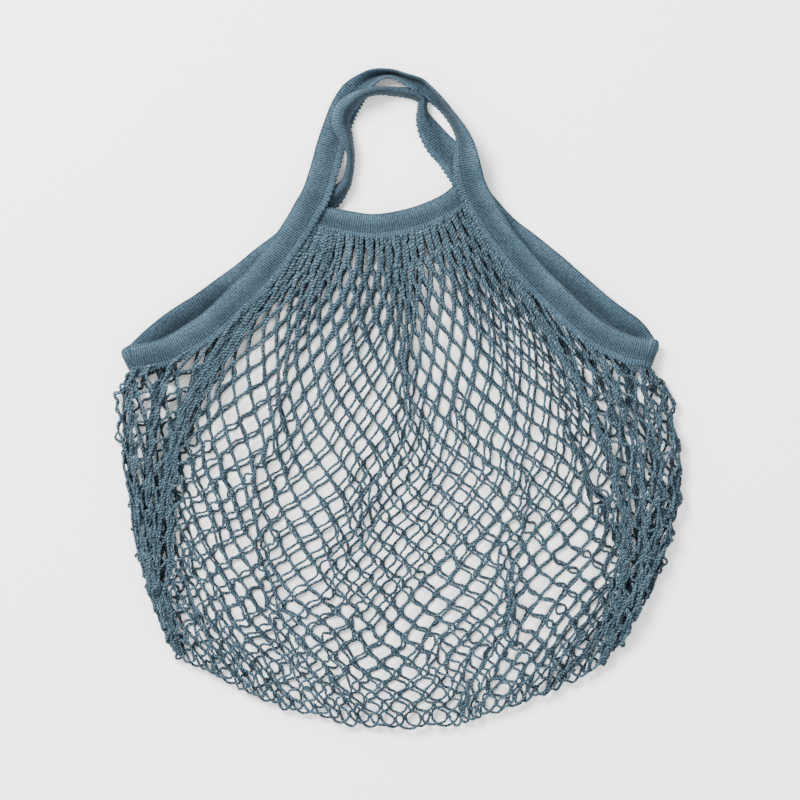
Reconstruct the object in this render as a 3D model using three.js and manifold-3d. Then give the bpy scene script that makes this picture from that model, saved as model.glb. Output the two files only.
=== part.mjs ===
// String shopping bag, lying flat: a net sack hung from two knitted tapes and two neck bands.
// X runs across the bag, Y from the bottom of the net to the handles, Z up from the surface it lies on.
import * as THREE from 'three';
import { mergeVertices } from 'three/addons/utils/BufferGeometryUtils.js';
import Module from 'manifold-3d';

// Driving dimensions, in millimetres.
const bagWidth = 408; // across the net at its widest
const bagLength = 477; // from the top of the handles to the bottom of the net
const tapeWidth = 18; // knitted tape that edges the mouths and forms the handles
const tapeThick = 3; // the tape is knitted double
const neckWidth = 15; // neck bands, drawn narrower by the gathered net
const netWall = 2.4; // one layer of net
const hollowHeight = 7.8; // clear height between the two layers of net
const bunchRise = 4; // how far the gathered sides stand above the middle
const bunchWidth = 14; // solid gathers inside each side
const foldReach = 46; // from the silhouette to where the side folds end
const cellHeight = 64; // one gap of the net, from joint to joint along the strands
const cellWidth = 54; // one gap at the bottom of the bag
const barWidth = 6; // net left standing between two gaps
const closedNet = 44; // stretch below the neck where the strands lie side by side
const borderMargin = 16; // uncut net along the bands and round the silhouette
const fanHalfAngle = 45; // the strands spread by this much to each side, in degrees
const tapesCrossing = 3; // most tapes that lie over each other
const clearance = 0.3; // between pieces that touch

// Heights of the layers of the lying bag.
const stackStep = tapeThick + clearance;
const netHeight = 2 * netWall + hollowHeight;
const frontMiddle = netHeight - netWall / 2;
const frontLift = frontMiddle - tapeThick / 2;
const midHeight = (frontMiddle + tapeThick / 2) / 2;
const overall = netHeight + bunchRise + tapesCrossing * stackStep;

const cotton = { color: 0x66818f, metalness: 0 };
const cordRoughness = 0.95;
const tapeRoughness = 0.9;
const degree = Math.PI / 180;
const weldDistance = 1e-4;
const between = 2; // frames or outline points made for each row of a table
const turnAngles = [30, 60, 90]; // frames of a corner's quarter turn, in degrees
const beyondCorner = bagWidth / 4; // the cutting borders run on this far past a corner
const foldDepth = 0.8; // most that a folded tape fills of its own half width
const foldPeak = 1.2; // its crease stands out by this many half walls

function table(columns, lines) {
  return lines.map((line) => Object.fromEntries(columns.map((name, index) => [name, line[index]])));
}

// Tape rows, from the left corner over the handle to the right corner. across and along are shares
// of half the width and half the length, and place the middle of what shows of the tape from above.
// rise is the height of its lowest edge, 0 on the floor and 1 at the front layer, and over counts the
// tapes under it. smooth and loops are the slopes of its two halves across its width, in degrees.
const tapeColumns = ['across', 'along', 'rise', 'over', 'smooth', 'loops'];

const frontTapeRows = table(tapeColumns, [
  [-0.935, 0.120, 1, 0, 0, 0],
  [-0.870, 0.127, 1, 0, 0, 0],
  [-0.814, 0.140, 1, 0, 0, 0],
  [-0.727, 0.181, 1, 0, 0, 0],
  [-0.648, 0.229, 1, 0, 0, 0],
  [-0.563, 0.299, 1, 0, 0, 0],
  [-0.485, 0.364, 1, 0, 0, 0],
  [-0.422, 0.433, 1, 0.3, 0, 0],
  [-0.360, 0.509, 1, 1, 0, 0],
  [-0.322, 0.564, 1, 1, 0, 0],
  [-0.289, 0.613, 1, 1, 0, 0],
  [-0.259, 0.697, 0.6, 0.6, 0, 0],
  [-0.244, 0.752, 0.04, 0, -4, -4],
  [-0.219, 0.818, 0, 0, -6, -6],
  [-0.194, 0.872, 0, 0, -8, -4],
  [-0.161, 0.919, 0, 0, -15, 5],
  [-0.120, 0.957, 0, 0, -64, 30],
  [-0.088, 0.975, 0, 0, -72, 44],
  [-0.055, 0.985, 0, 0, -75, 58],
  [-0.014, 0.980, 0, 0, -78, 50],
  [0.034, 0.958, 0, 0.9, -82, 42],
  [0.076, 0.937, 0, 1.4, -84, 38],
  [0.127, 0.898, 0, 0.6, -84, 36],
  [0.175, 0.850, 0, 0, -80, 32],
  [0.208, 0.806, 0.2, 0.3, -74, 28],
  [0.228, 0.756, 0.5, 1, -62, 22],
  [0.240, 0.702, 1, 1, -30, 6],
  [0.256, 0.642, 1, 1, 0, 0],
  [0.284, 0.590, 1, 1, 0, 0],
  [0.337, 0.515, 1, 0.4, 0, 0],
  [0.404, 0.438, 1, 0, 0, 0],
  [0.482, 0.361, 1, 0, 0, 0],
  [0.556, 0.300, 1, 0, 0, 0],
  [0.623, 0.243, 1, 0, 0, 0],
  [0.697, 0.193, 1, 0, 0, 0],
  [0.766, 0.163, 1, 0, 0, 0],
  [0.828, 0.143, 1, 0, 0, 0],
  [0.876, 0.136, 1, 0, 0, 0],
]);

const backTapeRows = table(tapeColumns, [
  [-0.935, 0.120, 0, 0, 0, 0],
  [-0.895, 0.148, 0, 0, 0, 0],
  [-0.849, 0.189, 0, 0, 0, 0],
  [-0.780, 0.237, 0, 0, 0, 0],
  [-0.694, 0.282, 0, 0, 0, 0],
  [-0.625, 0.320, 0, 0, 0, 0],
  [-0.556, 0.361, 0, 0, 0, 0],
  [-0.468, 0.423, 0, 0, 0, 0],
  [-0.415, 0.457, 0, 0.4, 0, 0],
  [-0.355, 0.501, 0, 1, 0, 0],
  [-0.312, 0.543, 0, 1, 0, 0],
  [-0.274, 0.584, 0, 1, 0, 0],
  [-0.238, 0.616, 0, 1, 8, -8],
  [-0.203, 0.648, 0, 0.6, 55, -50],
  [-0.178, 0.693, 0, 0, 78, -70],
  [-0.171, 0.729, 0, 0.7, 80, -70],
  [-0.178, 0.762, 0, 1.5, 74, -64],
  [-0.194, 0.795, 0, 1.6, 56, -60],
  [-0.203, 0.829, 0, 1.8, 50, -52],
  [-0.196, 0.862, 0, 1.7, 50, -52],
  [-0.173, 0.886, 0, 1.9, 54, -56],
  [-0.139, 0.909, 0, 2.2, 70, -66],
  [-0.104, 0.923, 0, 2.8, 78, -72],
  [-0.055, 0.930, 0, 0.9, 78, -72],
  [-0.009, 0.927, 0, 0, 72, -66],
  [0.034, 0.921, 0, 0, 68, -64],
  [0.061, 0.911, 0, 0, 72, -70],
  [0.079, 0.898, 0, 0, 76, -72],
  [0.083, 0.874, 0, 0, 72, -70],
  [0.092, 0.847, 0, 0, 60, -58],
  [0.115, 0.814, 0, 0, 30, -32],
  [0.146, 0.771, 0, 0, 14, -10],
  [0.178, 0.735, 0, 0.4, 0, 0],
  [0.206, 0.699, 0, 1, 0, 0],
  [0.238, 0.658, 0, 1, 0, 0],
  [0.270, 0.617, 0, 1, 0, 0],
  [0.312, 0.572, 0, 1, 0, 0],
  [0.379, 0.509, 0, 0.3, 0, 0],
  [0.452, 0.460, 0, 0, 0, 0],
  [0.520, 0.412, 0, 0, 0, 0],
  [0.588, 0.367, 0, 0, 0, 0],
  [0.654, 0.322, 0, 0, 0, 0],
  [0.721, 0.273, 0, 0, 0, 0],
  [0.778, 0.234, 0, 0, 0, 0],
  [0.821, 0.204, 0, 0, 0, 0],
  [0.852, 0.171, 0, 0, 0, 0],
  [0.876, 0.136, 0, 0, 0, 0],
]);

// The net hangs from the tape between the corner and the last of these rows, on each side.
const netRows = { front: { left: 8, right: 8 }, back: { left: 8, right: 9 } };

// Both neck bands follow this line, the front one over the front layer and the back one on the floor.
const neckRows = table(['across', 'along'], [
  [-0.316, 0.562],
  [-0.277, 0.546],
  [-0.224, 0.534],
  [-0.162, 0.524],
  [-0.101, 0.517],
  [-0.034, 0.521],
  [0.058, 0.539],
  [0.136, 0.565],
  [0.182, 0.586],
  [0.221, 0.611],
  [0.252, 0.635],
]);

// Silhouette of the net, from the left corner round the bottom to the right corner. bunch says how
// gathered the net is there, and fold how far the rounding and the side folds reach inwards.
const rimRows = table(['across', 'along', 'bunch', 'fold'], [
  [-0.969, 0.098, 0.3, 0.5],
  [-0.997, 0.020, 0.7, 0.8],
  [-0.990, -0.095, 1, 1],
  [-0.976, -0.216, 1, 1],
  [-0.951, -0.322, 1, 1],
  [-0.934, -0.427, 1, 1],
  [-0.902, -0.533, 0.9, 1],
  [-0.863, -0.632, 0.8, 0.9],
  [-0.803, -0.723, 0.5, 0.7],
  [-0.715, -0.811, 0.3, 0.5],
  [-0.588, -0.883, 0.1, 0.4],
  [-0.401, -0.943, 0, 0.4],
  [-0.171, -0.986, 0, 0.4],
  [0.058, -0.998, 0, 0.4],
  [0.252, -0.983, 0, 0.4],
  [0.411, -0.936, 0.1, 0.4],
  [0.556, -0.868, 0.2, 0.5],
  [0.676, -0.802, 0.3, 0.6],
  [0.775, -0.732, 0.5, 0.7],
  [0.845, -0.660, 0.7, 0.9],
  [0.895, -0.557, 0.9, 1],
  [0.944, -0.442, 1, 1],
  [0.979, -0.322, 1, 1],
  [1.001, -0.201, 1, 1],
  [0.994, -0.080, 1, 1],
  [0.962, 0.026, 0.7, 0.8],
  [0.909, 0.110, 0.3, 0.5],
]);

// The open top of the sack, back from the right corner, beyond the bands that trim it.
const mouthRows = table(['across', 'along'], [
  [0.852, 0.171],
  [0.721, 0.273],
  [0.520, 0.412],
  [0.312, 0.572],
  [0.221, 0.623],
  [0.005, 0.533],
  [-0.277, 0.560],
  [-0.355, 0.501],
  [-0.556, 0.361],
  [-0.780, 0.237],
  [-0.895, 0.162],
]);
const mouthFold = 0.13;
const mouthStretch = 1.08; // the hollow runs on this far through the mouth

// Rings of the sack's outside, from under to over: inset is a share of foldReach, level a share of
// the net's height, and crest a share of the rise of the gathered sides.
const outerRings = table(['inset', 'level', 'crest'], [
  [0.16, 0, 0],
  [0.05, 0.12, 0],
  [0, 0.5, 0],
  [0.05, 0.86, 0],
  [0.14, 1, 0.8],
  [0.26, 1, 1],
  [0.46, 1, 0.2],
  [0.68, 1, 0.75],
  [1, 1, 0],
]);

// The strands fan out from this point above the neck, and the corners turn outwards this way.
const fanFocus = { across: -0.037, along: 0.738 };
const cornerTurn = { left: 194 * degree, right: -20 * degree };

function place(row) {
  return new THREE.Vector2((row.across * bagWidth) / 2, (row.along * bagLength) / 2);
}

function heading(angle) {
  return new THREE.Vector2(Math.cos(angle), Math.sin(angle));
}

function rightOf(direction) {
  return new THREE.Vector2(direction.y, -direction.x).normalize();
}

function mix(a, b, share) {
  return a + (b - a) * share;
}

// Section of a tape, folded along its middle: two halves at their own slopes. grow widens it on all
// sides, for the room that the net leaves round a tape.
function tapeSection(row, width, grow) {
  const half = width / 2 + grow;
  const wall = tapeThick / 2 + grow;
  const smooth = heading(row.smooth * degree);
  const loops = heading(row.loops * degree);
  const smoothUp = new THREE.Vector2(-smooth.y, smooth.x);
  const loopUp = new THREE.Vector2(-loops.y, loops.x);
  const bend = ((row.loops - row.smooth) * degree) / 2;
  const middleUp = smoothUp.clone().add(loopUp).normalize();
  const inside = Math.min(wall / Math.cos(bend), foldDepth * half);
  const outside = Math.min(wall / Math.cos(bend), foldPeak * wall);
  const over = bend > 0 ? inside : outside;
  const under = bend > 0 ? outside : inside;
  const smoothTip = smooth.clone().multiplyScalar(-half);
  const loopTip = loops.clone().multiplyScalar(half);
  return [
    smoothTip.clone().addScaledVector(smoothUp, wall),
    middleUp.clone().multiplyScalar(over),
    loopTip.clone().addScaledVector(loopUp, wall),
    loopTip.clone().addScaledVector(loopUp, -wall),
    middleUp.clone().multiplyScalar(-under),
    smoothTip.clone().addScaledVector(smoothUp, -wall),
  ];
}

// Frames along a tape: a point on its middle line, the way it runs, and the level direction that
// points to its looped edge. Rows are joined by a smooth curve in plan, with some frames between two
// rows, and each frame is lifted so that the lowest point of its section is where the rows say.
function tapeFrames(rows, width, ends) {
  const sides = rows.map((row, index) => {
    const before = place(rows[Math.max(index - 1, 0)]);
    const after = place(rows[Math.min(index + 1, rows.length - 1)]);
    return rightOf(after.sub(before));
  });
  if (ends) {
    sides[0] = rightOf(heading(ends.left).negate());
    sides[rows.length - 1] = rightOf(heading(ends.right));
  }
  const spots = rows.map((row, index) => {
    const lean = (width / 4) * (Math.cos(row.smooth * degree) - Math.cos(row.loops * degree));
    const spot = place(row).addScaledVector(sides[index], lean);
    return new THREE.Vector3(spot.x, spot.y, 0);
  });
  const curve = new THREE.CatmullRomCurve3(spots, false, 'centripetal');
  const last = rows.length - 1;
  const frames = [];
  for (let step = 0; step <= last * between; step += 1) {
    const low = Math.min(Math.floor(step / between), last - 1);
    const share = step / between - low;
    const side = sides[low].clone().lerp(sides[low + 1], share).normalize();
    const value = (name) => mix(rows[low][name], rows[low + 1][name], share);
    const frame = {
      point: curve.getPoint(step / between / last),
      side: new THREE.Vector3(side.x, side.y, 0),
      smooth: value('smooth'),
      loops: value('loops'),
    };
    const lowest = Math.min(...tapeSection(frame, width, 0).map((corner) => corner.y));
    frame.point.z = value('rise') * frontLift + value('over') * stackStep - lowest;
    frames.push(frame);
  }
  frames.forEach((frame, index) => {
    const before = frames[Math.max(index - 1, 0)];
    const after = frames[Math.min(index + 1, frames.length - 1)];
    frame.run = after.point.clone().sub(before.point).normalize();
  });
  return frames;
}

// A corner's quarter turn, from level to upright: it ends half a clearance from the middle height,
// where the other tape's turn meets it.
function quarterTurn(start, angle, way) {
  const out = heading(angle);
  const radius = Math.abs(start.point.z - midHeight);
  const above = Math.sign(start.point.z - midHeight);
  return turnAngles.map((turn) => {
    const reach = radius * Math.sin(turn * degree);
    const rise = Math.max(radius * Math.cos(turn * degree), clearance / 2);
    const run = new THREE.Vector3(out.x, out.y, 0).multiplyScalar(Math.cos(turn * degree));
    run.z = -above * Math.sin(turn * degree);
    return {
      point: new THREE.Vector3(start.point.x + out.x * reach, start.point.y + out.y * reach,
        midHeight + above * rise),
      run: run.multiplyScalar(way),
      side: start.side,
      smooth: 0,
      loops: 0,
    };
  });
}

function withCorners(frames) {
  const left = quarterTurn(frames[0], cornerTurn.left, -1).reverse();
  const right = quarterTurn(frames[frames.length - 1], cornerTurn.right, 1);
  return [...left, ...frames, ...right];
}

// Signed volume of a triangle list, to turn a closed surface outwards.
function signedVolume(points, faces) {
  let sum = 0;
  for (const [a, b, c] of faces) {
    sum += points[a].dot(new THREE.Vector3().crossVectors(points[b], points[c])) / 6;
  }
  return sum;
}

function closedGeometry(points, faces) {
  const outward = signedVolume(points, faces) > 0;
  const index = faces.flatMap(([a, b, c]) => (outward ? [a, b, c] : [a, c, b]));
  const geometry = new THREE.BufferGeometry();
  geometry.setAttribute('position', new THREE.Float32BufferAttribute(
    points.flatMap((point) => point.toArray()), 3));
  geometry.setIndex(index);
  return geometry;
}

// Faces between rings of equally many points.
function ringFaces(rings, count) {
  const faces = [];
  for (let ring = 0; ring + 1 < rings; ring += 1) {
    for (let spot = 0; spot < count; spot += 1) {
      const next = (spot + 1) % count;
      const a = ring * count + spot;
      const b = ring * count + next;
      faces.push([a, b, b + count], [a, b + count, a + count]);
    }
  }
  return faces;
}

// A tape: its section carried along the frames and closed at both ends.
function tapeGeometry(frames, width, grow = 0) {
  const points = frames.flatMap((frame) => {
    const side = frame.side.clone().addScaledVector(frame.run, -frame.side.dot(frame.run)).normalize();
    const up = new THREE.Vector3().crossVectors(side, frame.run).normalize();
    return tapeSection(frame, width, grow).map((spot) => frame.point.clone()
      .addScaledVector(side, spot.x).addScaledVector(up, spot.y));
  });
  const count = 6;
  const faces = ringFaces(frames.length, count);
  const end = (frames.length - 1) * count;
  for (const [a, b, c, d] of [[0, 1, 4, 5], [1, 2, 3, 4]]) {
    faces.push([a, c, b], [a, d, c]);
    faces.push([end + a, end + b, end + c], [end + a, end + c, end + d]);
  }
  return closedGeometry(points, faces);
}

// Points just beyond a tape's looped edge, where the net begins.
function loopedEdge(frames, width) {
  return frames.map((frame) => {
    const spot = frame.point.clone().addScaledVector(frame.side, width / 2 + clearance);
    return new THREE.Vector2(spot.x, spot.y);
  });
}

const frontFrames = withCorners(tapeFrames(frontTapeRows, tapeWidth, cornerTurn));
const backFrames = withCorners(tapeFrames(backTapeRows, tapeWidth, cornerTurn));
const neckLine = neckRows.map((row) => ({ ...row, over: 0, smooth: 0, loops: 0 }));
const frontNeckFrames = tapeFrames(neckLine.map((row) => ({ ...row, rise: 1 })), neckWidth, null);
const backNeckFrames = tapeFrames(neckLine.map((row) => ({ ...row, rise: 0 })), neckWidth, null);

// The line where a layer of net meets its tape and neck band, from beyond the left corner to beyond
// the right one.
function netBorder(frames, neckFrames, rows) {
  const tape = loopedEdge(frames, tapeWidth);
  const neck = loopedEdge(neckFrames, neckWidth).slice(between, -between);
  const left = tape.slice(0, turnAngles.length + rows.left * between + 1);
  const right = tape.slice(tape.length - turnAngles.length - rows.right * between - 1);
  const beyondLeft = left[0].clone().addScaledVector(heading(cornerTurn.left), beyondCorner);
  const beyondRight = right[right.length - 1].clone()
    .addScaledVector(heading(cornerTurn.right), beyondCorner);
  return [beyondLeft, ...left, ...neck, ...right, beyondRight];
}

function prism(outline, low, high) {
  const geometry = new THREE.ExtrudeGeometry(new THREE.Shape(outline),
    { depth: high - low, bevelEnabled: false });
  return geometry.translate(0, 0, low);
}

// All that lies beyond a border, between two heights.
function trimPrism(border, low, high) {
  const first = border[0];
  const last = border[border.length - 1];
  const top = new THREE.Vector2(0, bagLength);
  return prism([...border, new THREE.Vector2(last.x, top.y), new THREE.Vector2(first.x, top.y)], low, high);
}

// Outline of the sack in plan, with how gathered it is at each point. inside is true for the hollow,
// which runs out through the mouth.
function sackOutline(inside) {
  const rim = rimRows.map((row) => ({ ...row, spot: place(row), mouth: false }));
  const mouth = mouthRows.map((row) => {
    const spot = place(row).multiplyScalar(inside ? mouthStretch : 1);
    return { spot, bunch: 0, fold: mouthFold, mouth: true };
  });
  const rows = [...rim, ...mouth];
  const curve = new THREE.CatmullRomCurve3(rows.map((row) => new THREE.Vector3(row.spot.x, row.spot.y, 0)),
    true, 'centripetal');
  return Array.from({ length: rows.length * between }, (_, step) => {
    const low = Math.floor(step / between);
    const share = step / between - low;
    const next = rows[(low + 1) % rows.length];
    const point = curve.getPoint(step / between / rows.length);
    return {
      spot: new THREE.Vector2(point.x, point.y),
      bunch: mix(rows[low].bunch, next.bunch, share),
      fold: mix(rows[low].fold, next.fold, share),
      mouth: rows[low].mouth && next.mouth,
    };
  });
}

// A closed lofted form from rings in plan, each with its own height at every point.
function loft(rings) {
  const count = rings[0].length;
  const points = rings.flat();
  const faces = ringFaces(rings.length, count);
  const middle = (ring) => ring.reduce((sum, point) => sum.add(point), new THREE.Vector3())
    .divideScalar(count);
  const under = points.push(middle(rings[0])) - 1;
  const over = points.push(middle(rings[rings.length - 1])) - 1;
  const top = (rings.length - 1) * count;
  for (let spot = 0; spot < count; spot += 1) {
    const next = (spot + 1) % count;
    faces.push([under, next, spot], [over, top + spot, top + next]);
  }
  return closedGeometry(points, faces);
}

function inset(outlinePoint, distance, height) {
  const towards = outlinePoint.spot.clone().negate().normalize();
  const spot = outlinePoint.spot.clone().addScaledVector(towards, distance);
  return new THREE.Vector3(spot.x, spot.y, height);
}

function sackOutside() {
  const outline = sackOutline(false);
  return loft(outerRings.map((ring) => outline.map((point) => {
    const height = ring.level * netHeight + ring.crest * bunchRise * point.bunch;
    return inset(point, ring.inset * foldReach * point.fold, height);
  })));
}

function sackHollow() {
  const outline = sackOutline(true);
  const wall = (point) => (point.mouth ? 0 : netWall + bunchWidth * point.bunch);
  const round = (point) => wall(point) + (point.mouth ? 0 : netWall);
  return loft([
    outline.map((point) => inset(point, round(point), netWall)),
    outline.map((point) => inset(point, wall(point), netHeight / 2)),
    outline.map((point) => inset(point, round(point), netHeight - netWall)),
  ]);
}

// Distance from a point to a closed outline, less than zero outside it.
function depthInside(point, outline) {
  let inside = false;
  let nearest = Infinity;
  outline.forEach((a, index) => {
    const b = outline[(index + 1) % outline.length];
    const along = b.clone().sub(a);
    const share = THREE.MathUtils.clamp(point.clone().sub(a).dot(along) / along.lengthSq(), 0, 1);
    nearest = Math.min(nearest, point.distanceTo(a.clone().addScaledVector(along, share)));
    const crosses = (a.y > point.y) !== (b.y > point.y);
    if (crosses && point.x < a.x + ((point.y - a.y) / (b.y - a.y)) * (b.x - a.x)) inside = !inside;
  });
  return inside ? nearest : -nearest;
}

// The gaps of the net: diamonds in staggered rows on the fan of strands, each drawn in by half a bar
// and kept where it lies wholly inside the bands and the silhouette.
function netCells(frontBorder) {
  const focus = place(fanFocus);
  const region = [
    ...rimRows.map(place),
    ...frontBorder.slice(1, -1).reverse(),
  ];
  const reach = focus.y + bagLength / 2;
  const turn = cellWidth / reach;
  const first = focus.y - Math.min(...frontBorder.slice(1, -1).filter((spot) => Math.abs(spot.x) < neckWidth)
    .map((spot) => spot.y)) + closedNet + cellHeight / 2;
  const onFan = (angle, radius) => new THREE.Vector2(focus.x + radius * Math.sin(angle),
    focus.y - radius * Math.cos(angle));
  const cells = [];
  for (let row = 0; first + (row * cellHeight) / 2 < reach; row += 1) {
    const radius = first + (row * cellHeight) / 2;
    const columns = Math.ceil((fanHalfAngle * degree) / turn);
    for (let column = -columns; column <= columns; column += 1) {
      const angle = (column + (row % 2) / 2) * turn;
      const wide = turn / 2 - barWidth / 2 / radius;
      const slant = (cellHeight / cellWidth) * Math.sqrt(reach / radius);
      const tall = cellHeight / 2 - (barWidth / 2) * slant;
      const corners = [onFan(angle, radius - tall), onFan(angle + wide, radius),
        onFan(angle, radius + tall), onFan(angle - wide, radius)];
      if (corners.every((corner) => depthInside(corner, region) > borderMargin)) cells.push(corners);
    }
  }
  return cells;
}

const wasm = await Module();
wasm.setup();

function solid(geometry) {
  geometry.deleteAttribute('normal');
  geometry.deleteAttribute('uv');
  const merged = mergeVertices(geometry, weldDistance);
  return new wasm.Manifold(new wasm.Mesh({
    numProp: 3,
    vertProperties: new Float32Array(merged.attributes.position.array),
    triVerts: new Uint32Array(merged.index.array),
  }));
}

function fromSolid(body) {
  const mesh = body.getMesh();
  const geometry = new THREE.BufferGeometry();
  geometry.setAttribute('position', new THREE.BufferAttribute(mesh.vertProperties, 3));
  geometry.setIndex(new THREE.BufferAttribute(mesh.triVerts, 1));
  return geometry;
}

// The main body of a cut solid, without loose slivers.
function largest(body) {
  return body.decompose().reduce((a, b) => (a.volume() > b.volume() ? a : b));
}

// The net as three solids, one above the other: the back layer, the closed rim that joins both
// layers round the sides and the bottom, and the front layer.
function netParts() {
  const frontBorder = netBorder(frontFrames, frontNeckFrames, netRows.front);
  const backBorder = netBorder(backFrames, backNeckFrames, netRows.back);
  let body = solid(sackOutside()).subtract(solid(sackHollow()));
  body = body.subtract(solid(trimPrism(frontBorder, midHeight, overall)));
  body = body.subtract(solid(trimPrism(backBorder, -netWall, midHeight)));
  for (const [frames, width] of [[frontFrames, tapeWidth], [backFrames, tapeWidth],
    [frontNeckFrames, neckWidth], [backNeckFrames, neckWidth]]) {
    body = body.subtract(solid(tapeGeometry(frames, width, clearance)));
  }
  for (const cell of netCells(frontBorder)) {
    body = body.subtract(solid(prism(cell, -netWall, overall)));
  }
  body = largest(body);
  const under = netWall + clearance / 2;
  const over = netHeight - netWall - clearance / 2;
  const up = [0, 0, 1];
  const down = [0, 0, -1];
  return {
    back_net: body.trimByPlane(down, -under),
    net_rim: body.trimByPlane(up, under + clearance).trimByPlane(down, clearance - over),
    front_net: body.trimByPlane(up, over),
  };
}

function piece(name, geometry, roughness) {
  const mesh = new THREE.Mesh(geometry, new THREE.MeshStandardMaterial({ ...cotton, roughness }));
  mesh.name = name;
  return mesh;
}

const bag = new THREE.Group();
for (const [name, body] of Object.entries(netParts())) {
  bag.add(piece(name, fromSolid(largest(body)), cordRoughness));
}
bag.add(piece('front_tape', tapeGeometry(frontFrames, tapeWidth), tapeRoughness));
bag.add(piece('back_tape', tapeGeometry(backFrames, tapeWidth), tapeRoughness));
bag.add(piece('front_neck_band', tapeGeometry(frontNeckFrames, neckWidth), tapeRoughness));
bag.add(piece('back_neck_band', tapeGeometry(backNeckFrames, neckWidth), tapeRoughness));

// The origin is on the floor, under the middle of the whole bag.
const box = new THREE.Box3().setFromObject(bag);
bag.position.set(-(box.min.x + box.max.x) / 2, -(box.min.y + box.max.y) / 2, -box.min.z);

export default bag;
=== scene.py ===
"""String shopping bag lying flat: knitted tapes, neck bands and net strands, with stage and camera."""

import math

import bpy
import numpy as np
from bpy.props import FloatProperty, FloatVectorProperty, IntProperty, PointerProperty
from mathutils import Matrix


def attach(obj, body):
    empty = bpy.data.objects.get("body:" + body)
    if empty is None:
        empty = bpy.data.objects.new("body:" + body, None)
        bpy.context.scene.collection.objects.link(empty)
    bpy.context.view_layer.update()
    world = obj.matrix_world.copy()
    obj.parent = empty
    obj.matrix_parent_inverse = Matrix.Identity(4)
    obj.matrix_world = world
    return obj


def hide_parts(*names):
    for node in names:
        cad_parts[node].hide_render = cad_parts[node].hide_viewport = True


bl_info = {
    "name": "String shopping bag",
    "version": (1, 0, 0),
    "blender": (4, 2, 0),
    "location": "3D View > Sidebar > String bag",
    "description": "Makes a cotton net shopping bag with knitted tape handles, laid flat",
    "category": "Add Mesh",
}

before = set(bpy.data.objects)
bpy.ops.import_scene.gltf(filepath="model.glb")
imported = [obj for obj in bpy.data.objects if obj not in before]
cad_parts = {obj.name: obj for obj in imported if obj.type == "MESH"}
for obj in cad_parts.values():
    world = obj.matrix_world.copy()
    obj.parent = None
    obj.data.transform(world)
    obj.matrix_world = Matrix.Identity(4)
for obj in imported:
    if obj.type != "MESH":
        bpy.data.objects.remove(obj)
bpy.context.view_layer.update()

MM = 0.001
PLAN_SQUARE = 0.72  # millimetres in a square of the plan grid, counted from its top left corner
PLAN_MIDDLE = 398.5
ORIGIN_SHIFT = (-0.409, -0.939)  # from the middle of the tables to the middle of the whole bag
HALF_WIDTH = 204.0
HALF_LENGTH = 238.5

# Heights of the lying bag, in millimetres.
BACK_MIDDLE = 1.5
FRONT_MIDDLE = 11.4
MID_HEIGHT = (FRONT_MIDDLE + BACK_MIDDLE) / 2
FRONT_LIFT = FRONT_MIDDLE - BACK_MIDDLE
STACK_STEP = 3.3
CORNER_LEFT = math.radians(208)
CORNER_RIGHT = math.radians(-20)

# Tape rows from the left corner over the handle to the right corner: across and along as shares of half
# the width and half the length, rise from the floor (0) to the front layer (1), how many tapes lie under
# it, and the slopes of its smooth half and its looped half across its width, in degrees.
FRONT_TAPE = np.array([
    (-0.935, 0.120, 1, 0, 0, 0),
    (-0.870, 0.127, 1, 0, 0, 0),
    (-0.814, 0.140, 1, 0, 0, 0),
    (-0.727, 0.181, 1, 0, 0, 0),
    (-0.648, 0.229, 1, 0, 0, 0),
    (-0.563, 0.299, 1, 0, 0, 0),
    (-0.485, 0.364, 1, 0, 0, 0),
    (-0.422, 0.433, 1, 0.3, 0, 0),
    (-0.360, 0.509, 1, 1, 0, 0),
    (-0.322, 0.564, 1, 1, 0, 0),
    (-0.289, 0.613, 1, 1, 0, 0),
    (-0.259, 0.697, 0.6, 0.6, 0, 0),
    (-0.244, 0.752, 0.04, 0, -4, -4),
    (-0.219, 0.818, 0, 0, -6, -6),
    (-0.194, 0.872, 0, 0, -8, -4),
    (-0.161, 0.919, 0, 0, -15, 5),
    (-0.120, 0.953, 0, 0, -50, 48),
    (-0.088, 0.970, 0, 0, -62, 60),
    (-0.055, 0.978, 0, 0, -78, 76),
    (-0.014, 0.975, 0, 0, -84, 74),
    (0.034, 0.956, 0, 0.9, -86, 58),
    (0.076, 0.936, 0, 1.4, -88, 14),
    (0.129, 0.902, 0, 0.6, -86, -52),
    (0.178, 0.855, 0, 0, -82, -64),
    (0.212, 0.809, 0.1, 0.3, -74, -62),
    (0.232, 0.758, 0.5, 1, -50, -48),
    (0.240, 0.702, 1, 1, -18, -14),
    (0.256, 0.642, 1, 1, 0, 0),
    (0.284, 0.590, 1, 1, 0, 0),
    (0.337, 0.515, 1, 0.4, 0, 0),
    (0.404, 0.438, 1, 0, 0, 0),
    (0.482, 0.361, 1, 0, 0, 0),
    (0.556, 0.300, 1, 0, 0, 0),
    (0.623, 0.243, 1, 0, 0, 0),
    (0.697, 0.193, 1, 0, 0, 0),
    (0.766, 0.163, 1, 0, 0, 0),
    (0.828, 0.143, 1, 0, 0, 0),
    (0.876, 0.136, 1, 0, 0, 0),
])

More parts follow.
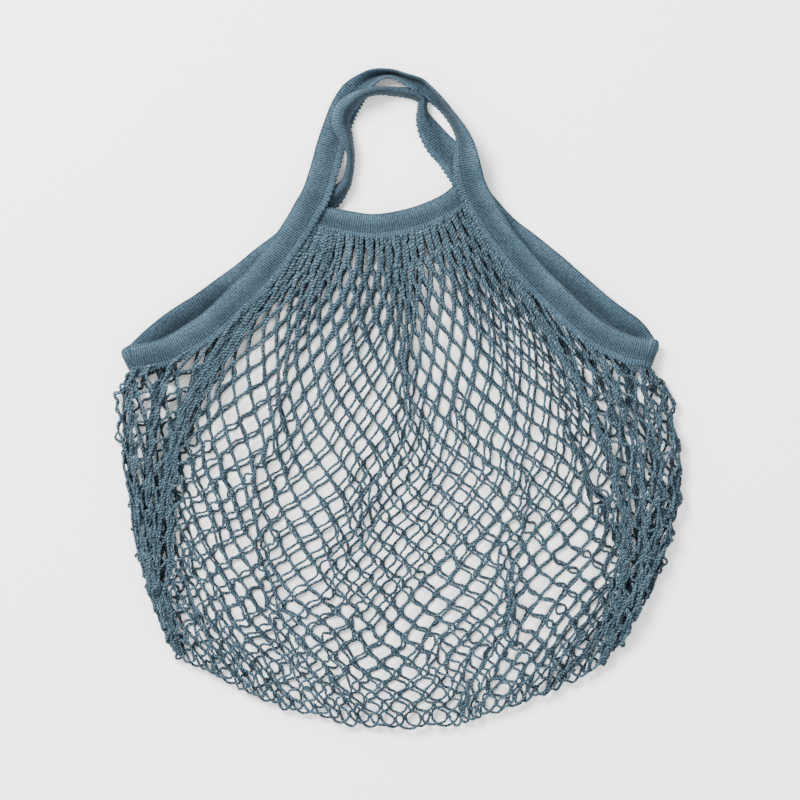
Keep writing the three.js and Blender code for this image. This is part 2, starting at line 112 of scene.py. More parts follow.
BACK_TAPE = np.array([
    (-0.935, 0.120, 0, 0, 0, 0),
    (-0.895, 0.148, 0, 0, -8, -8),
    (-0.849, 0.186, 0, 0, -24, -24),
    (-0.780, 0.234, 0, 0, -30, -30),
    (-0.694, 0.281, 0, 0, -27, -27),
    (-0.625, 0.320, 0, 0, -14, -14),
    (-0.556, 0.361, 0, 0, 0, 0),
    (-0.468, 0.423, 0, 0, 0, 0),
    (-0.415, 0.457, 0, 0.4, 0, 0),
    (-0.355, 0.501, 0, 1, 0, 0),
    (-0.312, 0.543, 0, 1, 0, 0),
    (-0.274, 0.584, 0, 1, 0, 0),
    (-0.218, 0.617, 0, 1, 58, -56),
    (-0.184, 0.651, 0, 0.6, 78, -74),
    (-0.173, 0.693, 0, 0, 82, -80),
    (-0.169, 0.729, 0, 0.7, 84, -80),
    (-0.174, 0.762, 0, 1.5, 82, -74),
    (-0.190, 0.795, 0, 1.6, 60, -64),
    (-0.203, 0.829, 0, 1.8, 50, -52),
    (-0.196, 0.862, 0, 1.7, 50, -52),
    (-0.173, 0.886, 0, 1.9, 54, -56),
    (-0.139, 0.909, 0, 2.2, 78, -76),
    (-0.104, 0.920, 0, 2.8, 84, -82),
    (-0.055, 0.928, 0, 0.9, 84, -80),
    (-0.009, 0.926, 0, 0, 80, -76),
    (0.034, 0.922, 0, 0, 76, -72),
    (0.064, 0.914, 0, 0, 78, -76),
    (0.084, 0.900, 0, 0, 80, -78),
    (0.084, 0.874, 0, 0, 80, -78),
    (0.088, 0.847, 0, 0, 68, -66),
    (0.108, 0.812, 0, 0, 38, -40),
    (0.141, 0.770, 0, 0, 16, -14),
    (0.178, 0.735, 0, 0.4, 0, 0),
    (0.206, 0.699, 0, 1, 0, 0),
    (0.238, 0.658, 0, 1, 0, 0),
    (0.270, 0.617, 0, 1, 0, 0),
    (0.312, 0.572, 0, 1, 0, 0),
    (0.379, 0.509, 0, 0.3, 0, 0),
    (0.452, 0.460, 0, 0, 0, 0),
    (0.520, 0.412, 0, 0, 0, 0),
    (0.588, 0.367, 0, 0, -24, -24),
    (0.654, 0.322, 0, 0, -34, -34),
    (0.721, 0.273, 0, 0, -36, -36),
    (0.778, 0.234, 0, 0, -26, -26),
    (0.821, 0.204, 0, 0, -10, -10),
    (0.852, 0.171, 0, 0, 0, 0),
    (0.876, 0.136, 0, 0, 0, 0),
])

# The middle line of both neck bands, across and along.
NECK_BAND = np.array([
    (-0.316, 0.562),
    (-0.277, 0.546),
    (-0.224, 0.534),
    (-0.162, 0.524),
    (-0.101, 0.517),
    (-0.034, 0.521),
    (0.058, 0.539),
    (0.136, 0.565),
    (0.182, 0.586),
    (0.221, 0.611),
    (0.252, 0.635),
])

# Guide strands of a net layer on the plan grid: strand number, the share of the neck strands' rows that
# it misses at its top, then six points from its tape or band down to the rim.
STRAND_GUIDES = np.array([
    (-1, 0.52, 132, 370, 116, 400, 120, 446, 127, 490, 135, 540, 148, 585),
    (2.7, 0.50, 140, 358, 132, 400, 132, 450, 137, 502, 144, 554, 154, 600),
    (7.2, 0.45, 168, 349, 152, 400, 146, 456, 147, 512, 150, 566, 160, 615),
    (12.6, 0.33, 214, 327, 179, 392, 158, 448, 153, 508, 154, 574, 166, 630),
    (18, 0.12, 268, 281, 216, 358, 178, 436, 162, 508, 159, 583, 174, 645),
    (23.5, 0.0, 313, 226, 253, 314, 203, 400, 176, 486, 166, 575, 183, 656),
    (34.3, 0.0, 337, 236, 304, 338, 281, 434, 267, 528, 262, 616, 285, 706),
    (45.5, 0.0, 388, 240, 388, 343, 387, 441, 389, 538, 393, 632, 402, 727),
    (56.8, 0.0, 430, 224, 464, 328, 491, 424, 510, 518, 519, 612, 505, 708),
    (67.6, 0.0, 461, 203, 531, 306, 584, 400, 612, 490, 616, 578, 593, 668),
    (73, 0.12, 506, 268, 559, 348, 599, 424, 622, 500, 624, 580, 604, 655),
    (78.4, 0.33, 562, 316, 604, 378, 631, 440, 642, 508, 639, 576, 617, 641),
    (83.9, 0.45, 607, 350, 633, 398, 650, 452, 654, 508, 646, 566, 628, 626),
    (88.4, 0.50, 636, 362, 657, 400, 669, 450, 671, 502, 660, 554, 638, 608),
    (92, 0.52, 650, 370, 672, 398, 679, 442, 680, 488, 668, 540, 648, 590),
])
STRANDS = 92
SIDE_STRANDS = 22
ROWS = 34
FOLD_LANES = 6.9  # strands in one fold of the gathered sides
FOLD_SHIFT = 2.5  # strands that a fold moves them by
TAPE_STEP = 0.425  # millimetres between the rings of a tape
FLOOR_GAP = 0.05  # millimetres that a tape stays above the floor
SETTLE_ROUNDS = 60
FAN_APART = 2.6  # least millimetres between neighbouring joints of a row in the fan
NECK_FADE = 64  # millimetres below the band over which the cords thin out


class BagTape(bpy.types.PropertyGroup):
    width: FloatProperty(
        name="Tape width", description="Width of the knitted tape", default=0.0176, unit="LENGTH")
    neck_width: FloatProperty(
        name="Neck band width", description="Width of the neck bands", default=0.0152, unit="LENGTH")
    thickness: FloatProperty(
        name="Thickness", description="Thickness of the double knit", default=0.003, unit="LENGTH")
    rib_pitch: FloatProperty(
        name="Rib pitch", description="Distance between two ribs along the tape",
        default=0.0017, unit="LENGTH")
    rib_height: FloatProperty(
        name="Rib height", description="Height of the ribs", default=0.00045, unit="LENGTH")
    tooth_height: FloatProperty(
        name="Tooth height", description="How far the teeth of the looped edge stand out",
        default=0.0014, unit="LENGTH")


class BagNet(bpy.types.PropertyGroup):
    cord_width: FloatProperty(
        name="Cord width", description="Thickness of a net cord", default=0.00195, unit="LENGTH")
    neck_cord_width: FloatProperty(
        name="Cord width at the neck", description="Thickness of the slack cords under the neck band",
        default=0.0033, unit="LENGTH")
    bar_length: FloatProperty(
        name="Bar length", description="Cord between two joints of the net", default=0.0103, unit="LENGTH")
    joint_length: FloatProperty(
        name="Joint length", description="Stretch where two cords run side by side", default=0.0026,
        unit="LENGTH")
    clumping: FloatProperty(
        name="Clumping", description="How unevenly the strands lie beside each other, in strands",
        default=1.0, subtype="FACTOR")
    seed: IntProperty(name="Seed", description="Chooses the way that the net has fallen", default=7)


class BagColours(bpy.types.PropertyGroup):
    tape: FloatVectorProperty(
        name="Tape colour", description="Colour of the knitted tape", default=(0.036, 0.064, 0.087),
        subtype="COLOR")
    # Painted shade: the colour mixed into the grooves between the ribs.
    tape_groove_shade: FloatVectorProperty(
        name="Tape groove colour", description="Colour between the ribs", default=(0.002, 0.005, 0.008),
        subtype="COLOR")
    cord: FloatVectorProperty(
        name="Cord colour", description="Colour of the net cords", default=(0.066, 0.111, 0.142),
        subtype="COLOR")
    # Painted shade: the colour mixed into the grooves between the twisted strands of a cord.
    cord_groove_shade: FloatVectorProperty(
        name="Cord groove colour", description="Colour between the twisted strands of a cord",
        default=(0.003, 0.008, 0.013), subtype="COLOR")
    floor: FloatVectorProperty(
        name="Floor colour", description="Colour of the floor", default=(0.93, 0.93, 0.93), subtype="COLOR")


class BagSizes(bpy.types.PropertyGroup):
    tape: PointerProperty(type=BagTape)
    net: PointerProperty(type=BagNet)
    colours: PointerProperty(type=BagColours)


# Small helpers for curves and smooth random fields.


def place(across, along):
    """Millimetres in the bag's frame from shares of half the width and half the length."""
    return np.stack([across * HALF_WIDTH + ORIGIN_SHIFT[0], along * HALF_LENGTH + ORIGIN_SHIFT[1]], axis=-1)


def plan(points):
    """Millimetres in the bag's frame from points of the plan grid."""
    return np.stack([(points[..., 0] - PLAN_MIDDLE) * PLAN_SQUARE + ORIGIN_SHIFT[0],
                     (PLAN_MIDDLE - points[..., 1]) * PLAN_SQUARE + ORIGIN_SHIFT[1]], axis=-1)


def unit(vectors):
    return vectors / np.maximum(np.linalg.norm(vectors, axis=-1, keepdims=True), 1e-9)


def heading(angle):
    return np.array([math.cos(angle), math.sin(angle)])


def right_of(way):
    return unit(np.stack([way[..., 1], -way[..., 0]], axis=-1))


def soft_step(value):
    share = np.clip(value, 0, 1)
    return share * share * (3 - 2 * share)


def cubic(a, b, m1, m2, t):
    """From a with slope m1, at t = 0, to b with slope m2, at t = 1."""
    return a + m1 * t + (3 * (b - a) - 2 * m1 - m2) * t ** 2 + (2 * (a - b) + m1 + m2) * t ** 3


def centripetal_curve(points, at):
    """Cubic stretches through the points, at row numbers with fractions. The slopes at both ends of a
    stretch weigh the chords round it by the square roots of their lengths."""
    ends = np.vstack([2 * points[0] - points[1], points, 2 * points[-1] - points[-2]])
    low = np.clip(at.astype(int), 0, len(points) - 2)
    t = (at - low)[:, None]
    p0, p1, p2, p3 = (ends[low + i] for i in range(4))
    d0, d1, d2 = (np.maximum(np.linalg.norm(b - a, axis=1, keepdims=True) ** 0.5, 1e-4)
                  for a, b in ((p0, p1), (p1, p2), (p2, p3)))
    m1 = ((p1 - p0) / d0 - (p2 - p0) / (d0 + d1) + (p2 - p1) / d1) * d1
    m2 = ((p2 - p1) / d1 - (p3 - p1) / (d1 + d2) + (p3 - p2) / d2) * d1
    return cubic(p1, p2, m1, m2, t)


def smooth_between(stations, values, at):
    """Cubic curve through values at uneven stations. The slope at a station is that of the chord between
    its two neighbours."""
    values = np.asarray(values, float)
    shape = (-1,) + (1,) * (values.ndim - 1)
    slope = np.empty_like(values)
    slope[1:-1] = (values[2:] - values[:-2]) / (stations[2:] - stations[:-2]).reshape(shape)
    slope[0] = (values[1] - values[0]) / (stations[1] - stations[0])
    slope[-1] = (values[-1] - values[-2]) / (stations[-1] - stations[-2])
    low = np.clip(np.searchsorted(stations, at, side="right") - 1, 0, len(stations) - 2)
    gap = (stations[low + 1] - stations[low]).reshape(shape)
    t = (at - stations[low]).reshape(shape) / gap
    return cubic(values[low], values[low + 1], slope[low] * gap, slope[low + 1] * gap, t)


def blurred(values, width):
    """Weighted mean of each value with those within twice the width, by a bell curve over the index."""
    reach = max(int(2 * width), 1)
    bell = np.exp(-0.5 * (np.arange(-reach, reach + 1) / max(width, 1e-6)) ** 2)
    bell /= bell.sum()
    columns = values.reshape(len(values), -1)
    padded = np.pad(columns, ((reach, reach), (0, 0)), mode="edge")
    out = np.stack([np.convolve(column, bell, mode="valid") for column in padded.T], axis=1)
    return out.reshape(values.shape)


def random_field(rng, across, down, cell_across, cell_down):
    """Smooth random values between about -1 and 1 on a grid of across by down, from random values at
    coarser knots joined by eased steps."""
    knots = rng.uniform(-1, 1, (int(across / cell_across) + 3, int(down / cell_down) + 3))
    x = np.arange(across) / cell_across
    y = np.arange(down) / cell_down
    lx, ly = x.astype(int), y.astype(int)
    sx, sy = soft_step(x - lx)[:, None], soft_step(y - ly)[None, :]
    a, b = knots[np.ix_(lx, ly)], knots[np.ix_(lx + 1, ly)]
    c, d = knots[np.ix_(lx, ly + 1)], knots[np.ix_(lx + 1, ly + 1)]
    return (a * (1 - sx) + b * sx) * (1 - sy) + (c * (1 - sx) + d * sx) * sy


# Meshes of rings.


def ring_mesh(name, strips, texture, shade, material):
    """One object from strips of rings. A strip is an array of rings by points by three in millimetres, and
    is closed round each ring and with a face at both ends. texture holds the along coordinate of every
    ring, and shade one tone for every strip."""
    points, faces, corners, tones = [], [], [], []
    caps, first = [], 0
    for strip, along, tone in zip(strips, texture, shade):
        rings, count = strip.shape[:2]
        flat = strip.reshape(-1, 3)
        ring, spot = np.meshgrid(np.arange(rings - 1), np.arange(count), indexing="ij")
        after = (spot + 1) % count
        quad = np.stack([ring * count + spot, ring * count + after,
                         (ring + 1) * count + after, (ring + 1) * count + spot], axis=-1).reshape(-1, 4)
        u0, u1 = along[ring], along[ring + 1]
        v0, v1 = spot / count, (spot + 1) / count
        uv = np.stack([np.stack([u0, v0], -1), np.stack([u0, v1], -1),
                       np.stack([u1, v1], -1), np.stack([u1, v0], -1)], axis=-2).reshape(-1, 4, 2)
        a, b, c = (flat[quad[:, i]] for i in (0, 1, 2))
        d = flat[quad[:, 3]]
        volume = (np.einsum("ij,ij->i", a, np.cross(b, c)) + np.einsum("ij,ij->i", a, np.cross(c, d))).sum()
        start, end = np.arange(count)[::-1], np.arange(count) + (rings - 1) * count
        if volume < 0:
            quad, uv, start, end = quad[:, ::-1], uv[:, ::-1], start[::-1], end[::-1]
        points.append(flat)
        faces.append(quad + first)
        corners.append(uv)
        caps += [start + first, end + first]
        tones.append(np.full(len(flat), tone))
        first += len(flat)
    points, faces = np.concatenate(points) * MM, np.concatenate(faces)
    size = len(caps[0])
    mesh = bpy.data.meshes.new(name)
    mesh.vertices.add(len(points))
    mesh.vertices.foreach_set("co", points.astype(np.float32).ravel())
    loops = np.concatenate([faces.ravel(), np.concatenate(caps)]).astype(np.int32)
    mesh.loops.add(len(loops))
    mesh.loops.foreach_set("vertex_index", loops)
    starts = np.concatenate([np.arange(len(faces)) * 4, faces.size + np.arange(len(caps)) * size])
    mesh.polygons.add(len(starts))
    mesh.polygons.foreach_set("loop_start", starts.astype(np.int32))
    smooth = np.concatenate([np.ones(len(faces)), np.zeros(len(caps))]).astype(bool)
    mesh.polygons.foreach_set("use_smooth", smooth)
    uv = np.zeros((len(loops), 2), np.float32)
    uv[:faces.size] = np.concatenate(corners).reshape(-1, 2)
    mesh.uv_layers.new(name="Yarn").data.foreach_set("uv", uv.ravel())
    mesh.update(calc_edges=True)
    tone = mesh.attributes.new("tone", "FLOAT", "POINT")
    tone.data.foreach_set("value", np.concatenate(tones).astype(np.float32))
    mesh.materials.append(material)
    piece = bpy.data.objects.new(name, mesh)
    bpy.context.collection.objects.link(piece)
    return piece


# Materials.


class Knit:
    """Node tree of one material, with short ways to add its nodes."""

    def __init__(self, name):
        self.material = bpy.data.materials.new(name)
        self.material.use_nodes = True
        self.nodes = self.material.node_tree.nodes
        self.links = self.material.node_tree.links
        self.shader = self.nodes["Principled BSDF"]
        self.shader.inputs["Metallic"].default_value = 0

    def add(self, kind, **settings):
        node = self.nodes.new(kind)
        for key, value in settings.items():
            setattr(node, key, value)
        return node

    def feed(self, socket, value):
        if isinstance(value, bpy.types.NodeSocket):
            self.links.new(value, socket)
        else:
            socket.default_value = value

    def maths(self, operation, a, b=0.0, c=0.0):
        node = self.add("ShaderNodeMath", operation=operation)
        for socket, value in zip(node.inputs, (a, b, c)):
            self.feed(socket, value)
        return node.outputs[0]

    def noise(self, vector, scale, detail=2.0, roughness=0.5):
        node = self.add("ShaderNodeTexNoise")
        self.feed(node.inputs["Vector"], vector)
        node.inputs["Scale"].default_value = scale
        node.inputs["Detail"].default_value = detail
        node.inputs["Roughness"].default_value = roughness
        return node.outputs["Fac"]

    def spread(self, value, low, high, to_low=0.0, to_high=1.0):
        node = self.add("ShaderNodeMapRange")
        for socket, number in zip(node.inputs, (value, low, high, to_low, to_high)):
            self.feed(socket, number)
        return node.outputs[0]

    def mixed(self, share, a, b):
        node = self.add("ShaderNodeMix", data_type="RGBA")
        self.feed(node.inputs["Factor"], share)
        self.feed(node.inputs["A"], a)
        self.feed(node.inputs["B"], b)
        return node.outputs["Result"]

    def scaled(self, colour, factor):
        node = self.add("ShaderNodeVectorMath", operation="SCALE")
        self.feed(node.inputs[0], colour if isinstance(colour, bpy.types.NodeSocket) else colour[:3])
        self.feed(node.inputs["Scale"], factor)
        return node.outputs[0]

    def ramp(self, value, stops):
        """Number read off straight lines between stops of a position and a number below two."""
        node = self.add("ShaderNodeValToRGB")
        self.feed(node.inputs[0], value)
        for index, (spot, number) in enumerate(stops):
            stop = node.color_ramp.elements.new(spot) if index >= 2 else node.color_ramp.elements[index]
            stop.position = spot
            stop.color = (number / 2, number / 2, number / 2, 1)
        return self.maths("MULTIPLY", node.outputs[0], 2.0)

    def cotton(self, grain, low, high, specular, sheen, sheen_roughness):
        """Rough where the grain is high, with a faint shine and a soft sheen."""
        self.feed(self.shader.inputs["Roughness"], self.spread(grain, 0.2, 0.8, low, high))
        self.shader.inputs["Specular IOR Level"].default_value = specular
        self.shader.inputs["Sheen Weight"].default_value = sheen
        self.shader.inputs["Sheen Roughness"].default_value = sheen_roughness

    def bump(self, height, strength, distance):
        node = self.add("ShaderNodeBump")
        self.feed(node.inputs["Height"], height)
        node.inputs["Strength"].default_value = strength
        node.inputs["Distance"].default_value = distance
        self.links.new(node.outputs[0], self.shader.inputs["Normal"])


def yarn_coordinates(knit):
    """Along and round coordinates of the mesh, and its object coordinates."""
    uv = knit.add("ShaderNodeUVMap", uv_map="Yarn").outputs[0]
    parts = knit.add("ShaderNodeSeparateXYZ")
    knit.feed(parts.inputs[0], uv)
    return parts.outputs[0], parts.outputs[1], knit.add("ShaderNodeTexCoord").outputs["Object"]


def tape_material(colours):
    """Ribbed cotton knit: painted shade in the grooves between the ribs, broken into short stitches, painted
    light and shade across the width of the tape, with melange yarn and slow changes of tone."""
    knit = Knit("ribbed cotton knit")
    along, round_it, where = yarn_coordinates(knit)
    wave = knit.maths("ABSOLUTE", knit.maths("SUBTRACT", knit.maths("FRACT", along), 0.5))
    groove = knit.spread(wave, 0.5, 0.16)
    grain = knit.noise(where, 1500, 2.0, 0.6)
    stitches = knit.noise(where, 620, 1.0)
    slow = knit.noise(where, 55)
    # Painted shade in the grooves between the ribs, broken into short stitches.
    painted_groove_shade = knit.maths("MULTIPLY", groove, knit.spread(stitches, 0.35, 0.62, 0.5, 1.0))
    # Painted light and shade across the width: lighter towards the smooth and the looped edge, darker in the
    # middle, with a dark line of painted shade at the stitch row's dip.
    edge = knit.maths("DIVIDE", knit.maths("PINGPONG", round_it, 0.425), 0.425)
    band = knit.ramp(edge, ((0.0, 1.5), (0.1, 1.28), (0.26, 0.96), (0.5, 0.78), (0.72, 0.76), (0.80, 0.9),
                            (0.825, 0.5), (0.85, 1.2), (1.0, 1.35)))
    tone = knit.maths("MULTIPLY", knit.spread(grain, 0.25, 0.75, 0.5, 1.6),
                      knit.spread(slow, 0.3, 0.7, 0.8, 1.2))
    tone = knit.maths("MULTIPLY", tone, band)
    # The groove colour is painted shade.
    dark = (*colours.tape_groove_shade, 1)
    light = (*colours.tape, 1)
    knit.feed(knit.shader.inputs["Base Color"],
              knit.scaled(knit.mixed(knit.maths("MULTIPLY", painted_groove_shade, 0.85), light, dark), tone))
    knit.cotton(grain, 0.82, 0.98, 0.12, 0.05, 0.45)
    height = knit.maths("ADD", knit.maths("MULTIPLY", grain, 0.7), knit.maths("MULTIPLY", stitches, 0.6))
    knit.bump(knit.maths("SUBTRACT", height, groove), 0.6, 0.0004)
    return knit.material


def cord_material(colours):
    """Chained cotton cord: two strands wound round each other with painted shade in the grooves between them,
    fuzzy grain, and a tone of its own for each cord."""
    knit = Knit("twisted cotton cord")
    along, round_it, where = yarn_coordinates(knit)
    loose = knit.maths("MULTIPLY", knit.noise(where, 330, 1.0), 1.6)
    turn = knit.maths("ADD", knit.maths("DIVIDE", along, 2.5), knit.maths("MULTIPLY", round_it, 2.0))
    turn = knit.maths("FRACT", knit.maths("ADD", turn, loose))
    wave = knit.maths("ABSOLUTE", knit.maths("SUBTRACT", turn, 0.5))
    groove = knit.spread(wave, 0.5, 0.14)
    grain = knit.noise(where, 1100, 2.0, 0.6)
    slow = knit.noise(where, 90)
    own = knit.add("ShaderNodeAttribute", attribute_name="tone").outputs["Fac"]
    tone = knit.maths("MULTIPLY", knit.spread(grain, 0.28, 0.72, 0.4, 1.75),
                      knit.spread(slow, 0.3, 0.7, 0.84, 1.18))
    # The groove mask mixes painted shade between the twisted strands into the cord's colour.
    dark = (*colours.cord_groove_shade, 1)
    light = (*colours.cord, 1)
    knit.feed(knit.shader.inputs["Base Color"],
              knit.scaled(knit.mixed(knit.maths("MULTIPLY", groove, 0.88), light, dark),
                          knit.maths("MULTIPLY", tone, own)))
    knit.cotton(grain, 0.85, 1.0, 0.1, 0.04, 0.5)
    knit.bump(knit.maths("SUBTRACT", knit.maths("MULTIPLY", grain, 0.8), groove), 0.8, 0.0006)
    return knit.material


def floor_material(colours):
    """Pale matt paper with a very faint grain."""
    knit = Knit("pale paper")
    where = knit.add("ShaderNodeTexCoord").outputs["Object"]
    grain = knit.noise(where, 400)
    knit.feed(knit.shader.inputs["Base Color"],
              knit.scaled((*colours.floor, 1), knit.spread(grain, 0.3, 0.7, 0.99, 1.01)))
    knit.shader.inputs["Roughness"].default_value = 0.95
    knit.shader.inputs["Specular IOR Level"].default_value = 0.1
    return knit.material


MATERIALS = {}


def material_of(name, make):
    """The material of that name, made once and shared by the pieces."""
    if name not in MATERIALS:
        MATERIALS[name] = make(bpy.context.scene.string_bag.colours)
    return MATERIALS[name]


# Tapes.


def fold_section(smooth, loops, half):
    """Middle line of a folded section, in level and upright millimetres, for every frame: its slope eases
    from that of the smooth half to that of the looped half over the fold, and the line is its running sum
    from the middle outwards. Also the slope itself."""
    share = np.linspace(-1, 1, 17)
    share = share * (0.42 + 0.58 * share ** 2)
    ease = soft_step((share / 0.24 + 1) / 2)
    slope = smooth[:, None] * (1 - ease) + loops[:, None] * ease
    step = np.diff(share) * half
    middle = (slope[:, 1:] + slope[:, :-1]) / 2
    zero = np.zeros((len(smooth), 1))
    x = np.hstack([zero, np.cumsum(np.cos(middle) * step, axis=1)])
    y = np.hstack([zero, np.cumsum(np.sin(middle) * step, axis=1)])
    centre = len(share) // 2
    x, y = x - x[:, centre:centre + 1], y - y[:, centre:centre + 1]
    return share, slope, x, y


def tape_line(rows, width, wall, ends):
    """Middle line of a tape in fine even steps: points, the level direction to its looped edge, the two
    slopes and the distance along. It is the curve through the rows' places, each moved so that what shows
    from above is centred there, and lifted so that its lowest edge lies where the rows say."""
    across, along, rise, over, smooth, loops = rows.T
    smooth, loops = np.radians(smooth), np.radians(loops)
    spots = place(across, along)
    way = np.vstack([spots[1] - spots[0], spots[2:] - spots[:-2], spots[-1] - spots[-2]])
    side = right_of(way)
    if ends:
        side[0] = right_of(-heading(CORNER_LEFT))
        side[-1] = right_of(heading(CORNER_RIGHT))
    lean = width / 4 * (np.cos(smooth) - np.cos(loops))
    spots = spots + side * lean[:, None]
    at = np.linspace(0, len(rows) - 1, (len(rows) - 1) * 60 + 1)
    flat = centripetal_curve(spots, at)
    length = np.concatenate([[0], np.cumsum(np.linalg.norm(np.diff(flat, axis=0), axis=1))])
    even = np.arange(0, length[-1], TAPE_STEP)
    at = np.interp(even, length, at)
    flat = centripetal_curve(spots, at)
    row = np.arange(len(rows))
    value = {name: blurred(np.interp(at, row, values), 9) for name, values in
             (("rise", rise), ("over", over), ("smooth", smooth), ("loops", loops))}
    side = unit(blurred(np.stack([np.interp(at, row, side[:, i]) for i in (0, 1)], axis=1), 9))
    slope, y = fold_section(value["smooth"], value["loops"], width / 2)[1::2]
    teeth = 1.3 * np.abs(np.sin(slope[:, [0, -1]]))
    lowest = np.minimum((y - wall * np.cos(slope)).min(axis=1), (y[:, [0, -1]] - teeth).min(axis=1))
    height = blurred(value["rise"] * FRONT_LIFT + value["over"] * STACK_STEP - lowest, 6)
    return np.column_stack([flat, height]), side, value["smooth"], value["loops"], even


def corner_turn(point, side, out):
    """A quarter circle from a tape's level end, outwards and down or up to the middle height."""
    radius = abs(point[2] - MID_HEIGHT)
    above = np.sign(point[2] - MID_HEIGHT)
    turn = np.linspace(0, math.pi / 2, 19)[1:, None]
    flat = np.array([*out, 0.0])
    points = (point * [1, 1, 0] + flat * radius * np.sin(turn)
              + [0, 0, 1] * (MID_HEIGHT + above * radius * np.cos(turn)))
    return points, np.repeat([side], len(points), axis=0), radius * turn[:, 0]


def whole_tape(rows, width, wall):
    """A tape's line with its quarter turns at both corners."""
    points, side, smooth, loops, length = tape_line(rows, width, wall, True)
    left = corner_turn(points[0], side[0], heading(CORNER_LEFT))
    right = corner_turn(points[-1], side[-1], heading(CORNER_RIGHT))
    points = np.vstack([left[0][::-1], points, right[0]])
    side = np.vstack([left[1][::-1], side, right[1]])
    length = np.concatenate([-left[2][::-1], length, length[-1] + right[2]])
    smooth, loops = (np.pad(values, (len(left[0]), len(right[0]))) for values in (smooth, loops))
    return points, side, smooth, loops, length


def frame_vectors(points, side):
    """Level side and up directions of every frame, square to the run."""
    run = unit(np.gradient(points, axis=0))
    side = np.column_stack([side, np.zeros(len(side))])
    side = unit(side - run * np.einsum("ij,ij->i", side, run)[:, None])
    return side, unit(np.cross(side, run))


def tape_rings(line, width, wall, sizes, rng, stitch_row, rounding):
    """Rings of a ribbed tape. Across the tape, both faces stand off the folded middle line by the wall,
    which swells in the middle and dips at the stitch row before the looped edge. Along the tape, a rib
    rises once in each rib pitch, and the looped edge grows a tooth for every second rib."""
    points, side, smooth, loops, length = line
    side, up = frame_vectors(points, side)
    share, slope, x, y = fold_section(smooth, loops, width / 2)
    pitch = sizes.rib_pitch / MM
    rib = np.abs(np.cos(math.pi * length / pitch)) ** 0.7 - 0.62
    tooth = np.abs(np.cos(math.pi * length / (2 * pitch))) ** 0.8 - 0.5
    wobble = blurred(rng.normal(0, 1, len(length)), 30)
    wobble *= 0.25 / max(wobble.std(), 1e-9)
    folded = soft_step((np.abs(smooth) + np.abs(loops)) / math.radians(110))[:, None]
    roll = 0.35 * np.exp(-((share + 0.86) / 0.14) ** 2)
    swell = wall * (0.8 + 0.12 * (1 - share ** 2)) * (1 - 0.34 * folded) + roll * (1 - 0.6 * folded)
    dip = 0.26 * np.exp(-((share - stitch_row) / 0.05) ** 2)
    lip = 0.16 * soft_step((share - stitch_row - 0.05) / 0.1)
    reach = soft_step((share + 1.02) / 0.22)
    relief = (sizes.rib_height / MM) * rib[:, None] * (0.25 + 0.75 * reach)
    looped = soft_step((share - 0.55) / 0.45)
    grow = ((tooth * sizes.tooth_height / MM + wobble)[:, None] * looped
            - wobble[::-1, None] * soft_step(-share / 0.9))
    near_end = np.exp(-(np.minimum(length - length[0], length[-1] - length) / 2.6) ** 2)[:, None]
    x = x * (1 - rounding * near_end * (share < 0) * share ** 2)
    x = x + np.cos(slope) * grow
    y = y + np.sin(slope) * grow
    stand = swell - dip + lip + relief
    normal = np.stack([-np.sin(slope), np.cos(slope)], axis=-1)
    middle = np.stack([x, y], axis=-1)
    over = middle + normal * stand[..., None]
    under = middle - normal * stand[..., None]

    def cap(index, way):
        out = np.stack([np.cos(slope[:, index]), np.sin(slope[:, index])], axis=-1) * way
        size = stand[:, index][:, None]
        angles = np.radians([52, 0, -52]) if way > 0 else np.radians([-52, 0, 52])
        return [middle[:, index] + out * size * math.cos(a) + normal[:, index] * size * math.sin(a)
                for a in angles]

    section = np.stack([*over.transpose(1, 0, 2), *cap(-1, 1),
                        *under[:, ::-1].transpose(1, 0, 2), *cap(0, -1)], axis=1)
    rings = points[:, None] + side[:, None] * section[..., :1] + up[:, None] * section[..., 1:]
    rings[..., 2] = np.maximum(rings[..., 2], FLOOR_GAP)
    return rings, length / pitch + 0.5


def knitted_piece(name, line, width, stitch_row, seed, node, rounding=0.0):
    """One tape or band as a piece."""
    sizes = bpy.context.scene.string_bag.tape
    wall = sizes.thickness / MM / 2
    rng = np.random.default_rng(seed)
    rings, texture = tape_rings(line, width / MM, wall, sizes, rng, stitch_row, rounding)
    material = material_of("tape", tape_material)
    piece = ring_mesh(name, [rings], [texture], [1.0], material)
    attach(piece, "root")
    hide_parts(node)
    return piece


def tape_lines():
    """Lines of the front tape, the back tape, the front neck band and the back neck band, in that order."""
    sizes = bpy.context.scene.string_bag.tape
    wall = sizes.thickness / MM / 2
    width, neck = sizes.width / MM, sizes.neck_width / MM
    bands = []
    for rise in (1, 0):
        rows = np.zeros((len(NECK_BAND), 6))
        rows[:, :2] = NECK_BAND
        rows[:, 2] = rise
        bands.append(tape_line(rows, neck, wall, False))
    return (whole_tape(FRONT_TAPE, width, wall), whole_tape(BACK_TAPE, width, wall), bands[0], bands[1])


# Net.


def looped_border(tape, band):
    """Points of the looped edges that a layer of net hangs from, from the left corner to the right one."""
    sizes = bpy.context.scene.string_bag.tape
    edges = []
    for line, width in ((tape, sizes.width), (band, sizes.neck_width)):
        edge = line[0].copy()
        edge[:, :2] += line[1] * (width / MM / 2 - 0.6)
        edges.append(edge)
    tape_edge, band_edge = edges
    flat = place(*NECK_BAND[[0, -1]].T)
    cut = [np.argmin(np.linalg.norm(tape_edge[:, :2] - end, axis=1) + 1e3 * (tape_edge[:, 1] > end[1] + 12))
           for end in flat]
    return np.vstack([tape_edge[:cut[0]], band_edge, tape_edge[cut[1]:]])


